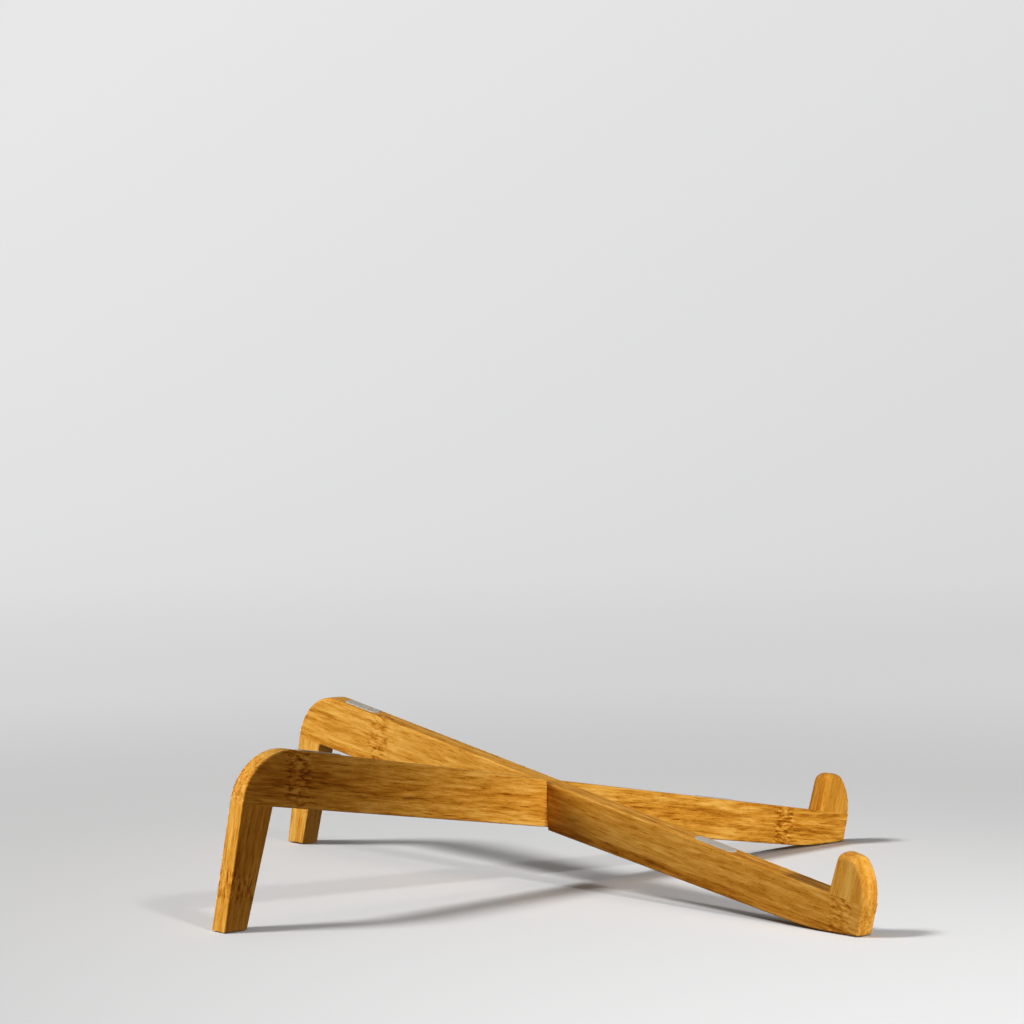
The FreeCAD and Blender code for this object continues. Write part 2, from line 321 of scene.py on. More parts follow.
class BarShape:
    """The lines and outlines of a bar, in its own plane, from the driving sizes."""

    def __init__(self, sizes):
        self.sizes = sizes
        self.slope = math.atan(math.tan(sizes.laptop_tilt) * math.cos(bar_turn("lower")))
        self.wood_bottom = sizes.pad_proud
        self.heel = np.array([-sizes.rear_length, self.wood_bottom])
        self.inner_foot = self.heel + (sizes.foot_width, 0)
        under = ((0, sizes.under_at_crossing), falling(sizes.under_fall))
        self.glue_end = meet(self.heel, leaning(sizes.leg_rear_lean), *under)
        self.inner_top = meet(self.inner_foot, leaning(sizes.leg_inner_lean), *under)

    def top(self, s):
        """Point of the beam's top edge at s."""
        return np.array([s, self.sizes.top_at_crossing - s * math.tan(self.slope)])

    def under(self, s):
        """Point of the beam's straight bottom edge at s."""
        return np.array([s, self.sizes.under_at_crossing - s * math.tan(self.sizes.under_fall)])

    def slot(self, turn, open_at_top):
        """Corners of the half lap's slot. Its walls slant, because the bars don't cross squarely."""
        sizes = self.sizes
        half = (sizes.board / 2 + sizes.lap_clearance) / abs(math.sin(turn))
        slant = 1 / math.tan(turn)
        middle = (sizes.top_at_crossing + sizes.under_at_crossing) / 2
        if open_at_top:
            floor, edge, fall = middle - sizes.lap_clearance, self.top, math.tan(self.slope)
            sides = (half, -half)
        else:
            floor, edge, fall = middle + sizes.lap_clearance, self.under, math.tan(sizes.under_fall)
            sides = (-half, half)
        into, out = (1.0, LAP_EASE), (LAP_EASE, 1.0)
        along_edge, along_floor = (slant, -slant * fall), (slant, 0.0)
        return [
            Corner(*edge(sides[0]), ease=into, slant=along_edge),
            Corner(sides[0], floor, ease=(LAP_EASE, LAP_EASE), slant=along_floor),
            Corner(sides[1], floor, ease=(LAP_EASE, LAP_EASE), slant=along_floor),
            Corner(*edge(sides[1]), ease=out, slant=along_edge),
        ]

    def beam(self, turn, open_at_top):
        """The long piece, from the round shoulder over the leg to the front foot."""
        sizes = self.sizes
        floor = ((0, self.wood_bottom), falling(0))
        shoulder = meet(self.heel, leaning(sizes.leg_rear_lean), self.top(0), falling(self.slope))
        end_top = self.top(sizes.front_length)
        end_bottom = meet(end_top, leaning(sizes.beam_end_lean), *floor)
        belly = meet(self.under(0), falling(sizes.under_fall), *floor)
        hook_heel = self.top(sizes.hook_heel)
        slot = self.slot(turn, open_at_top)
        below, above = ([], slot) if open_at_top else (slot, [])
        return rounded_outline([
            Corner(*self.glue_end, ease=(LEG_EASE, 0)),
            Corner(*self.inner_top, ease=(0, 0)),
            Corner(*self.under(self.inner_top[0] + EASE_RUN_OUT)),
            *below,
            Corner(*belly, radius=sizes.belly_radius),
            Corner(*end_bottom, ease=(1, END_EASE)),
            Corner(*end_top, ease=(END_EASE, 0)),
            Corner(*hook_heel, ease=(0, 0)),
            Corner(*self.top(sizes.hook_heel - EASE_RUN_OUT)),
            *above,
            Corner(*shoulder, radius=sizes.shoulder_radius, ease=(1, LEG_EASE), extra=SHOULDER_EXTRA),
        ])

    def leg(self):
        """The leg, wider at its glue line than at its foot."""
        return rounded_outline([
            Corner(*self.heel, ease=(LEG_EASE, LEG_EASE)),
            Corner(*self.inner_foot, ease=(LEG_EASE, LEG_EASE)),
            Corner(*self.inner_top, ease=(LEG_EASE, 0)),
            Corner(*self.glue_end, ease=(0, LEG_EASE)),
        ])

    def hook(self):
        """The hook, with a flat inner face, a rounded outer side and rounded upper corners."""
        sizes = self.sizes
        toe = self.top(sizes.front_length)
        half_turn = (sizes.hook_back_low + sizes.hook_back_high) / 2
        back = toe + sizes.hook_back_radius * math.tan(half_turn) * leaning(sizes.hook_back_low)
        roof = (self.top(0) + (0, sizes.hook_height), falling(self.slope))
        brow = meet(back, leaning(-sizes.hook_back_high), *roof)
        heel = self.top(sizes.hook_heel)
        tip = meet(heel, leaning(sizes.hook_inner_lean), *roof)
        return rounded_outline([
            Corner(*heel, ease=(HOOK_INNER_EASE, 0)),
            Corner(*toe, ease=(0, HOOK_EASE)),
            Corner(*back, radius=sizes.hook_back_radius, ease=(HOOK_EASE, HOOK_NECK_EASE)),
            Corner(*brow, radius=sizes.hook_brow_radius, ease=(HOOK_NECK_EASE, HOOK_TOP_EASE)),
            Corner(*tip, radius=sizes.hook_tip_radius, ease=(HOOK_TOP_EASE, HOOK_NECK_EASE)),
        ])

    def dowels(self):
        """Each glue joint's dowel."""
        sizes = self.sizes
        leg_s = (self.glue_end[0] + self.inner_top[0]) / 2
        hook_s = (sizes.hook_heel + sizes.front_length) / 2
        return {
            "leg": Dowel(self.under(leg_s), sizes.under_fall, sizes.leg_dowel_length),
            "hook": Dowel(self.top(hook_s), self.slope, sizes.hook_dowel_length),
        }


# ---------------------------------------------------------------- placing and finishing pieces

def box_middle(node):
    """Middle of a CAD node's box."""
    low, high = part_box(node)
    return (low + high) / 2


def bar_turn(bar):
    """A bar's angle in plan, from the middle of its CAD leg to that of its hook."""
    rear, front = box_middle(bar + "_leg"), box_middle(bar + "_hook")
    return math.atan2(front.y - rear.y, front.x - rear.x)


def bar_place(bar):
    """Matrix from a bar's plane (s, across, z) to the stand's frame. The crossing is at y = 0."""
    rear, front = box_middle(bar + "_leg"), box_middle(bar + "_hook")
    share = -rear.y / (front.y - rear.y)
    crossing = Vector((rear.x + share * (front.x - rear.x), 0, 0))
    return Matrix.Translation(crossing) @ Matrix.Rotation(bar_turn(bar), 4, "Z")


def new_mesh(name, shape, place):
    """A mesh object with its place in its vertices: each point is place times its own point."""
    vertices, faces = shape
    matrix = np.array(place)
    placed = vertices @ matrix[:3, :3].T + matrix[:3, 3]
    mesh = bpy.data.meshes.new(name)
    mesh.from_pydata(placed.tolist(), [], faces)
    work = bmesh.new()
    work.from_mesh(mesh)
    bmesh.ops.remove_doubles(work, verts=work.verts, dist=SAME_POINT)
    work.to_mesh(mesh)
    work.free()
    piece = bpy.data.objects.new(name, mesh)
    bpy.context.scene.collection.objects.link(piece)
    return piece


def cut_away(piece, cutters):
    """Takes the cutters' volumes out of the piece, and deletes the cutters."""
    for cutter in cutters:
        cut = piece.modifiers.new("cut", "BOOLEAN")
        cut.operation = "DIFFERENCE"
        cut.solver = "EXACT"
        cut.object = cutter
    bpy.context.view_layer.update()
    result = piece.evaluated_get(bpy.context.evaluated_depsgraph_get())
    mesh = bpy.data.meshes.new_from_object(result)
    piece.modifiers.clear()
    whole_board = piece.data
    piece.data = mesh
    bpy.data.meshes.remove(whole_board)
    mesh.name = piece.name
    for cutter in cutters:
        bpy.data.meshes.remove(cutter.data)


def finish_piece(piece, bar, node, material):
    """Shades a piece, gives it its material, and puts it in the place of its CAD node."""
    mesh = piece.data
    mesh.shade_smooth()
    mesh.set_sharp_from_angle(angle=SHARP_ANGLE)
    mesh.materials.clear()
    mesh.materials.append(material)
    corners = np.zeros(len(mesh.vertices) * 3, np.float32)
    mesh.vertices.foreach_get("co", corners)
    corners = corners.reshape(-1, 3)
    low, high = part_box(node)
    off = max(np.abs(corners.min(0) - low).max(), np.abs(corners.max(0) - high).max())
    if off > BOX_SLACK:
        raise RuntimeError(f"{piece.name} is {off / MM:.2f} mm off the box of {node}")
    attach(piece, bar + "_bar")
    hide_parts(node)


def dowel_cutter(bar, shape, joint):
    """The dowel hole across a glued joint: a round prism along the dowel, with room at its ends."""
    sizes = shape.sizes
    dowel = shape.dowels()[joint]
    drill = eased_prism(circle(sizes.dowel_hole_radius), dowel.reach + 2 * sizes.dowel_hole_spare, 0.0)
    middle = Matrix.Translation((dowel.middle[0], 0, dowel.middle[1]))
    upright = Matrix.Rotation(math.pi / 2, 4, "X")
    place = bar_place(bar) @ middle @ Matrix.Rotation(dowel.lean, 4, "Y") @ upright
    return new_mesh("drill", drill, place)


def pad_piece(bar, end, kind, name, sizes, gap, radius):
    """A silicone foot or rest, or its pocket's cutter where there is a gap, in its CAD node's middle.

    A foot is a round prism that lies flat. A rest has round ends, and lies along the beam's top.
    """
    node = f"{bar}_{end}_{kind}_pad"
    if kind == "foot":
        low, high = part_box(node)
        outline = circle((high.x - low.x) / 2 + gap)
        thickness, lean = sizes.foot_pad_thickness, 0.0
    else:
        outline = obround(sizes.rest_pad_length + 2 * gap, sizes.rest_pad_width + 2 * gap)
        thickness, lean = sizes.rest_pad_thickness, BarShape(sizes).slope
    place = (Matrix.Translation(box_middle(node)) @ Matrix.Rotation(bar_turn(bar), 4, "Z")
             @ Matrix.Rotation(lean, 4, "Y") @ Matrix.Rotation(math.pi / 2, 4, "X"))
    return new_mesh(name, eased_prism(outline, thickness, radius), place)


def pad_pocket(bar, end, kind, sizes):
    """Cutter of a pad's pocket."""
    return pad_piece(bar, end, kind, "pocket", sizes, sizes.pocket_gap, 0.0)


# ---------------------------------------------------------------- materials

class Wire:
    """An output socket. Arithmetic on it adds Math nodes to its node tree."""

    def __init__(self, socket):
        self.socket = socket

    @staticmethod
    def node(tree, kind, settings=None, inputs=None, output=0):
        """Adds a node: its settings first, such as an operation or a ramp's stops, then its sockets."""
        made = tree.nodes.new(kind)
        for key, value in (settings or {}).items():
            if key == "stops":
                fill_ramp(made.color_ramp, value)
            else:
                setattr(made, key, value)
        for key, value in (inputs or {}).items():
            if isinstance(value, Wire):
                tree.links.new(value.socket, made.inputs[key])
            else:
                made.inputs[key].default_value = value
        return Wire(made.outputs[output]) if len(made.outputs) else None

    def math(self, operation, *others):
        """A Math node on this value and the others."""
        inputs = dict(enumerate((self, *others)))
        return Wire.node(self.socket.id_data, "ShaderNodeMath", {"operation": operation}, inputs)

    def swapped(self, operation, first):
        """A Math node with this value as its second input."""
        return Wire.node(self.socket.id_data, "ShaderNodeMath", {"operation": operation},
                         {0: first, 1: self})

    def __add__(self, other):
        return self.math("ADD", other)

    def __radd__(self, other):
        return self.swapped("ADD", other)

    def __sub__(self, other):
        return self.math("SUBTRACT", other)

    def __rsub__(self, other):
        return self.swapped("SUBTRACT", other)

    def __mul__(self, other):
        return self.math("MULTIPLY", other)

    def __rmul__(self, other):
        return self.swapped("MULTIPLY", other)

    def __truediv__(self, other):
        return self.math("DIVIDE", other)

    def between(self, low, high):
        """0 below low and 1 above high, with a smooth step between."""
        return Wire.node(self.socket.id_data, "ShaderNodeMapRange",
                         {"interpolation_type": "SMOOTHSTEP"},
                         {"Value": self, "From Min": low, "From Max": high})


def fill_ramp(ramp, stops):
    """Gives a colour ramp its stops, each a place from 0 to 1 and a colour."""
    while len(ramp.elements) > 1:
        ramp.elements.remove(ramp.elements[-1])
    first_place, first_tone = stops[0]
    ramp.elements[0].position = first_place
    ramp.elements[0].color = (*first_tone, 1)
    for place, tone in stops[1:]:
        ramp.elements.new(place).color = (*tone, 1)


def new_material(name):
    """A material, its node tree and the Principled shader in it."""
    material = bpy.data.materials.new(name)
    material.use_nodes = True
    tree = material.node_tree
    shader = next(n for n in tree.nodes if n.type == "BSDF_PRINCIPLED")
    return material, tree, shader


def feed(tree, shader, **inputs):
    """Links wires to the shader's sockets, and sets plain numbers and colours on them."""
    for name, value in inputs.items():
        socket = shader.inputs[name.replace("_", " ")]
        if isinstance(value, Wire):
            tree.links.new(value.socket, socket)
        else:
            socket.default_value = value


def grain_axes(tree, middle, lean, turn):
    """Object coordinates in millimetres along the grain, across the board and across the strips."""
    place = Wire.node(tree, "ShaderNodeTexCoord", output="Object")
    return Wire.node(tree, "ShaderNodeMapping", {"vector_type": "TEXTURE"}, {
        "Vector": place, "Location": middle, "Rotation": (0, lean, turn), "Scale": (MM, MM, MM)})


def stretched(tree, vector, along, across, shift=None):
    """Grain coordinates scaled along and across the grain, for textures that follow it."""
    scaled = Wire.node(tree, "ShaderNodeVectorMath", {"operation": "MULTIPLY"},
                       {0: vector, 1: (along, across, across)})
    if shift is None:
        return scaled
    return Wire.node(tree, "ShaderNodeVectorMath", {"operation": "ADD"}, {0: scaled, 1: shift})


def noise(tree, vector, detail=2.0, roughness=0.5):
    """Smooth noise from 0 to 1."""
    return Wire.node(tree, "ShaderNodeTexNoise", {"noise_dimensions": "3D"}, {
        "Vector": vector, "Scale": 1.0, "Detail": detail, "Roughness": roughness})


def noise_1d(tree, value):
    """Smooth noise from 0 to 1 along one value."""
    return Wire.node(tree, "ShaderNodeTexNoise", {"noise_dimensions": "1D"}, {
        "W": value, "Scale": 1.0, "Detail": 1.0})


def white_noise(tree, value):
    """Four random numbers from 0 to 1 that stay the same while the value does."""
    source = Wire.node(tree, "ShaderNodeTexWhiteNoise", {"noise_dimensions": "1D"}, {"W": value})
    outputs = source.socket.node.outputs
    split = Wire.node(tree, "ShaderNodeSeparateColor", inputs={"Color": Wire(outputs["Color"])})
    colours = split.socket.node.outputs
    return (Wire(outputs["Value"]), *(Wire(colours[c]) for c in ("Red", "Green", "Blue")))


def dots(tree, vector, smallest, largest):
    """1 in scattered round dots, which are long where the vector is squeezed along the grain."""
    cells = Wire.node(tree, "ShaderNodeTexVoronoi", {"feature": "F1"},
                      {"Vector": vector, "Scale": 1.0, "Randomness": 1.0})
    return 1.0 - cells.between(smallest, largest)


# The bamboo's textures: how often each repeats per millimetre along and across the grain, its detail
# and roughness, and how much it adds to the tone, which is 0 in the darkest fibre and 1 in the palest
# pith. The first two move the pattern instead, in millimetres.
Texture = namedtuple("Texture", "along across detail roughness strength")
RAGGED = Texture(0.15, 0.6, 2.0, 0.5, 6.0)          # the uneven edge of a knuckle
WAVER = Texture(0.20, 0.5, 2.0, 0.5, 0.6)           # the fibres' wander to the side
BROAD = Texture(0.014, 0.30, 2.0, 0.5, 0.75)        # broad bands
DASHES = Texture(0.085, 0.85, 2.0, 0.6, 1.20)
FIBRES = Texture(0.11, 3.2, 3.0, 0.65, 0.70)
FLAMES = Texture(0.26, 0.80, 3.0, 0.6, 2.4)         # short dark and pale strokes at a knuckle

# Dots: how often they repeat per millimetre along and across the grain, and the distances from a
# dot's middle between which it fades, as shares of its spacing.
Dots = namedtuple("Dots", "along across smallest largest")
BUNDLES = Dots(0.09, 1.25, 0.14, 0.36)              # fibre bundles, long and dark
SPECKS = Dots(0.40, 1.0, 0.16, 0.30)                # short dark specks
DOWEL_PORES = Dots(0.5, 3.0, 0.08, 0.25)

# Lengths in the pattern are in millimetres, and tones are what is added or taken away.
MIDDLE_TONE = 0.56
FIGURE_TONE = 0.04          # added with the figure, to make up for its dark dashes
KNUCKLE_FADE = (4.0, 6.4)   # distances from a knuckle's middle between which it fades
KNUCKLE_SHIFT = 2.0         # spread of a knuckle's place from strip to strip
KNUCKLE_WAVER = 1.8         # more wander of the fibres in a knuckle
KNUCKLE_TONE = 0.06
STRIP_SLIDE = 60.0          # spread of the grain's place from strip to strip
STRIP_TONE = 0.30           # spread of the strips' own tones
PLY_RATE = 0.55             # changes of tone per millimetre across the board
PLY_TONE = 0.35             # and their spread
BARK_SIDE = (0.15, 0.95)    # shares of a strip's width between which its bundles darken
BUNDLE_TONE = (0.08, 0.20)  # on the pith side, and what the bark side adds to it
SPECK_TONE = 0.18
SEAM = (0.484, 0.497)       # shares of a strip's width, from its middle, at which its glue line starts
SEAM_TONE = 0.12
RED_TINT = (1.0, 0.86, 0.66, 1.0)
GRAIN_DEPTH = 0.05 * MM
MATT_DEPTH = 0.03 * MM


def figured(tree, vector, texture, shift=None):
    """One of the grain's noises, from 0 to 1."""
    place = stretched(tree, vector, texture.along, texture.across, shift)
    return noise(tree, place, texture.detail, texture.roughness)


def dotted(tree, vector, pattern):
    """One of the grain's patterns of dots, 1 in a dot and 0 around it."""
    place = stretched(tree, vector, pattern.along, pattern.across)
    return dots(tree, place, pattern.smallest, pattern.largest)


def bamboo(name, finishes, middle, lean, turn, board, seed):
    """Laminated bamboo under a satin oil, cut and placed as the board says.

    The board is strips side by side, each with its own tone. Tone is a sum of noises that are
    stretched along the grain: broad bands, dashes and fine fibres. Dark fibre bundles are long thin
    dots, which show as round spots where the grain is cut across. At a knuckle the fibres waver and
    break into short dark and pale flames.
    """
    material, tree, shader = new_material(name)
    grain = grain_axes(tree, middle, lean, turn)
    parts = Wire.node(tree, "ShaderNodeSeparateXYZ", inputs={"Vector": grain}).socket.node
    along, across, strips = (Wire(parts.outputs[axis]) for axis in "XYZ")

    place = strips / (finishes.strip_width / MM) + seed
    within = place.math("FRACT")
    own_tone, own_shift, own_place, own_red = white_noise(tree, place.math("FLOOR") + seed)

    # Knuckles: a ragged band at each place, a little further along or back in each strip.
    ragged = figured(tree, grain, RAGGED, (seed, 0, 0))
    zone = 0.0
    for at in board.knuckles:
        off = along - at + (own_shift - 0.5) * KNUCKLE_SHIFT + (ragged - 0.5) * RAGGED.strength
        band = 1.0 - off.math("ABSOLUTE").between(*KNUCKLE_FADE)
        zone = band.math("MAXIMUM", zone)

    waver = figured(tree, grain, WAVER, (0, seed, 0))
    side = (waver - 0.5) * (WAVER.strength + zone * KNUCKLE_WAVER)
    bent = Wire.node(tree, "ShaderNodeCombineXYZ", inputs={
        "X": along + own_place * STRIP_SLIDE, "Y": across + side * 0.5, "Z": strips + side})

    broad = figured(tree, bent, BROAD, (0, 0, seed)) - 0.5
    dashes = figured(tree, bent, DASHES) - 0.5
    fibres = figured(tree, bent, FIBRES) - 0.5
    flames = figured(tree, bent, FLAMES, (seed, seed, 0)) - 0.5
    plies = noise_1d(tree, across * PLY_RATE + seed) - 0.5
    bundles = dotted(tree, bent, BUNDLES)
    specks = dotted(tree, bent, SPECKS)
    bark = within.between(*BARK_SIDE)
    seam = (within - 0.5).math("ABSOLUTE").between(*SEAM)

    figure = board.figure
    # A board's paleness is partly painted light: the upper leg is made paler to brighten its lit side.
    tone = (MIDDLE_TONE + FIGURE_TONE * figure + board.paleness + (own_tone - 0.5) * STRIP_TONE
            + broad * BROAD.strength + dashes * (DASHES.strength * figure) + fibres * FIBRES.strength
            + plies * PLY_TONE + flames * zone * (FLAMES.strength * figure)
            - bundles * (BUNDLE_TONE[0] + bark * BUNDLE_TONE[1]) * figure
            - specks * SPECK_TONE - zone * KNUCKLE_TONE - seam * SEAM_TONE)
    ramp = Wire.node(tree, "ShaderNodeValToRGB", {"stops": [
        (0.0, finishes.bamboo_deep), (0.30, finishes.bamboo_dark),
        (0.60, finishes.bamboo_mid), (1.0, finishes.bamboo_light)]}, {"Fac": tone})
    reddish = Wire.node(tree, "ShaderNodeMix", {"data_type": "RGBA", "blend_type": "MULTIPLY"}, {
        0: (own_red - 0.5).between(0.1, 0.5) * 0.30 + zone * 0.15, 6: ramp, 7: RED_TINT}, output=2)

    height = fibres * 0.5 + dashes * 0.35 - bundles * 0.45 - specks * 0.4 - seam * 0.6
    bump = Wire.node(tree, "ShaderNodeBump", inputs={
        "Height": height, "Strength": 0.55, "Distance": GRAIN_DEPTH})
    feed(tree, shader, Base_Color=reddish, Normal=bump,
         Roughness=0.46 + fibres * 0.22 + bundles * 0.10 + zone * 0.05,
         Coat_Weight=0.06 - bundles * 0.03, Coat_Roughness=0.30, Specular_IOR_Level=0.20)
    return material


def dowel_wood(name, finishes, middle, lean, turn):
    """Pale turned hardwood: short grain lines along the dowel."""
    material, tree, shader = new_material(name)
    grain = grain_axes(tree, middle, lean, turn)
    lines = noise(tree, stretched(tree, grain, 0.25, 2.6), 3.0, 0.6)
    clear = 1.0 - dotted(tree, grain, DOWEL_PORES)
    tint = Wire.node(tree, "ShaderNodeValToRGB", {"stops": [
        (0.25, finishes.dowel_dark), (0.60, finishes.dowel_light)]},
        {"Fac": lines * 0.9 + clear * 0.15})
    bump = Wire.node(tree, "ShaderNodeBump", inputs={
        "Height": lines + clear * 0.5, "Strength": 0.5, "Distance": GRAIN_DEPTH})
    feed(tree, shader, Base_Color=tint, Normal=bump, Roughness=0.60 + lines * 0.15)
    return material


def silicone(name, finishes):
    """Milky moulded silicone with a fine matt texture and a little dust."""
    material, tree, shader = new_material(name)
    place = Wire.node(tree, "ShaderNodeTexCoord", output="Object")
    millimetres = Wire.node(tree, "ShaderNodeMapping", {"vector_type": "TEXTURE"},
                            {"Vector": place, "Scale": (MM, MM, MM)})
    matt = noise(tree, stretched(tree, millimetres, 7.0, 7.0), 2.0, 0.6)
    dust = noise(tree, stretched(tree, millimetres, 0.5, 0.5), 4.0, 0.7).between(0.48, 0.72)
    tint = Wire.node(tree, "ShaderNodeMix", {"data_type": "RGBA"}, {
        0: dust * 0.6, 6: (*finishes.silicone, 1), 7: (*finishes.silicone_dust, 1)}, output=2)
    bump = Wire.node(tree, "ShaderNodeBump", inputs={
        "Height": matt, "Strength": 0.4, "Distance": MATT_DEPTH})
    feed(tree, shader, Base_Color=tint, Normal=bump, Roughness=0.50 + dust * 0.2 + matt * 0.1,
         Subsurface_Weight=0.15, Subsurface_Scale=1.5 * MM)
    return material


# ---------------------------------------------------------------- operators

# Each board: the places of its knuckles along the grain, in millimetres from its middle, how strong
# its dashes and bundles are, and how much paler it is than most of the wood. On the upper leg that
# paleness is partly painted light: its wood is made paler so that its lit side is as bright as the
# lower leg's. The hooks are cut clear of any knuckle.
Board = namedtuple("Board", "knuckles figure paleness")
BOARDS = {
    "lower_beam": Board((-126.0, 128.0), 1.3, 0.0),
    "lower_hook": Board((), 0.5, 0.05),
    "lower_leg": Board((-6.5,), 1.0, 0.0),
    "upper_beam": Board((-98.0, 156.5), 1.0, 0.0),
    "upper_hook": Board((), 0.6, 0.12),
    "upper_leg": Board((-4.0,), 1.0, 0.30),
}
LEG_GRAIN_LEAN = math.radians(-77.0)        # up the leg, which leans 13 degrees
HOOK_GRAIN_LEAN = math.radians(-73.5)       # up the hook, nearly along its inner face
FIRST_SEED = 3.37
SEED_STEP = 7.91            # from board to board, so that no two are cut from the same place


def board_piece(bar, part, outline, sizes):
    """A piece of board with eased edges, on an outline in its bar's plane."""
    shape = eased_prism(outline, sizes.board, sizes.edge_radius)
    return new_mesh(f"{bar}_bamboo_{part}", shape, bar_place(bar))


def finish_board(piece, bar, part, finishes, middle, lean):
    """Gives a piece of board its own bamboo, with the grain along a lean from level."""
    node = f"{bar}_{part}"
    seed = FIRST_SEED + SEED_STEP * list(BOARDS).index(node)
    point = bar_place(bar) @ Vector((middle[0], 0, middle[1]))
    wood = bamboo("bamboo_" + node, finishes, point, lean, bar_turn(bar), BOARDS[node], seed)
    finish_piece(piece, bar, node, wood)


class LAPTOPSTAND_OT_beams(bpy.types.Operator):
    """Make both bamboo beams, with their lap slots, pad pockets and dowel holes"""

    bl_idname = "laptop_stand.beams"
    bl_label = "Beams"

    def execute(self, context):
        sizes = context.scene.stand_sizes
        shape = BarShape(sizes)
        middle = (0, (sizes.top_at_crossing + sizes.under_at_crossing) / 2)
        for bar, other in (BARS, BARS[::-1]):
            outline = shape.beam(bar_turn(other) - bar_turn(bar), bar == "lower")
            piece = board_piece(bar, "beam", outline, sizes)
            pockets = [pad_pocket(bar, end, kind, sizes)
                       for end, kind in (("front", "foot"), ("rear", "rest"), ("front", "rest"))]
            drills = [dowel_cutter(bar, shape, joint) for joint in ("leg", "hook")]
            cut_away(piece, pockets + drills)
            finish_board(piece, bar, "beam", context.scene.stand_finishes, middle, sizes.under_fall)
        return {"FINISHED"}


class LAPTOPSTAND_OT_legs(bpy.types.Operator):
    """Make both bamboo legs, with their pad pockets and dowel holes"""

    bl_idname = "laptop_stand.legs"
    bl_label = "Legs"

    def execute(self, context):
        sizes = context.scene.stand_sizes
        shape = BarShape(sizes)
        middle = (shape.heel + shape.inner_foot + shape.inner_top + shape.glue_end) / 4
        for bar in BARS:
            piece = board_piece(bar, "leg", shape.leg(), sizes)
            pocket = pad_pocket(bar, "rear", "foot", sizes)
            cut_away(piece, [pocket, dowel_cutter(bar, shape, "leg")])
            finish_board(piece, bar, "leg", context.scene.stand_finishes, middle, LEG_GRAIN_LEAN)
        return {"FINISHED"}


class LAPTOPSTAND_OT_hooks(bpy.types.Operator):
    """Make both bamboo hooks, with their dowel holes"""

    bl_idname = "laptop_stand.hooks"
    bl_label = "Hooks"

    def execute(self, context):
        sizes = context.scene.stand_sizes
        shape = BarShape(sizes)
        middle = shape.top((sizes.hook_heel + sizes.front_length) / 2) + (0, sizes.hook_height / 2)
        for bar in BARS:
            piece = board_piece(bar, "hook", shape.hook(), sizes)
            cut_away(piece, [dowel_cutter(bar, shape, "hook")])
            finish_board(piece, bar, "hook", context.scene.stand_finishes, middle, HOOK_GRAIN_LEAN)
        return {"FINISHED"}


class LAPTOPSTAND_OT_pads(bpy.types.Operator):
    """Make the silicone feet and rests"""

    bl_idname = "laptop_stand.pads"
    bl_label = "Silicone Pads"

    def execute(self, context):
        sizes = context.scene.stand_sizes
        rubber = silicone("milky_silicone", context.scene.stand_finishes)
        for bar in BARS:
            for end in ("rear", "front"):
                for kind in ("foot", "rest"):
                    name = f"{bar}_{end}_silicone_{kind}"
                    piece = pad_piece(bar, end, kind, name, sizes, 0.0, sizes.pad_edge_radius)
                    finish_piece(piece, bar, f"{bar}_{end}_{kind}_pad", rubber)
        return {"FINISHED"}


class LAPTOPSTAND_OT_dowels(bpy.types.Operator):
    """Give the dowels inside the glued joints their wood"""

    bl_idname = "laptop_stand.dowels"
    bl_label = "Dowels"

    def execute(self, context):
        finishes = context.scene.stand_finishes
        shape = BarShape(context.scene.stand_sizes)
        for bar in BARS:
            for joint, dowel in shape.dowels().items():
                node = f"{bar}_{joint}_dowel"
                wood = dowel_wood("dowel_wood_" + node, finishes, box_middle(node),
                                  dowel.lean - math.pi / 2, bar_turn(bar))
                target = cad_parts[node]
                target.data.materials.clear()
                target.data.materials.append(wood)
        return {"FINISHED"}


# The studio: a floor and a backdrop that go all the way round, so that every side has one behind it.
FLOOR_RADIUS = 1.7
WALL_RADIUS = 2.6
WALL_HEIGHT = 3.4
STUDIO_STEPS = 128              # round the studio
LEVEL_STEPS = 24                # along the floor's radius
COVE_STEPS = 32                 # up the cove
STUDIO_FADE = (0.30, 0.80)      # radii between which the lit floor fades into the backdrop's painted glow
# The backdrop is painted light: it glows, and its glow rises with distance, height and towards the
# left.
TONE_RADII = (0.6, WALL_RADIUS)     # between which the backdrop's tone rises with distance
TONE_HEIGHTS = (0.0, 1.2)       # and with height
PAINTED_LIGHT_LEFT = 0.35                # how fast it rises towards the left, per metre from TONE_EVEN
TONE_EVEN = 0.05
AIR_TONE = (1.0, 0.99, 0.97, 1)

# Where the lights stand, and the targets of those that don't aim at a piece.
KEY_PLACE = (-0.62, -0.15, 0.30)
KICKER_PLACE = (0.81, -0.75, 0.38)
WINDOW_PLACE = (-1.0, -0.2, 1.1)
POOL_PLACE = (0.60, -0.85, 0.90)
POOL_TARGET = (0.20, -0.32, 0)
BOUNCE_PLACE = (0.15, -0.95, 0.18)
BOUNCE_TARGET = (0, 0, 0.02)
OVERHEAD_PLACE = (-0.15, 0.25, 1.5)
CROSSING_TARGET = (0, 0, 0)

CAMERA_PLACE = (0.0563, -1.2345, 0.2026)
CAMERA_TURN = (87.336, 0.414, 3.343)        # degrees
SENSOR_WIDTH = 36.0             # millimetres


def painted_backdrop_light(tree, studio, radius, height, across):
    """The backdrop's painted light: a glow whose tone rises slowly with distance, height and towards
    the left.
    """
    share = (radius.between(*TONE_RADII) * 0.6 + height.between(*TONE_HEIGHTS) * 0.4
             + (TONE_EVEN - across) * PAINTED_LIGHT_LEFT)
    return Wire.node(tree, "ShaderNodeMix", {"data_type": "RGBA"}, {
        0: share, 6: (*studio.near_tone, 1), 7: (*studio.far_tone, 1)}, output=2)


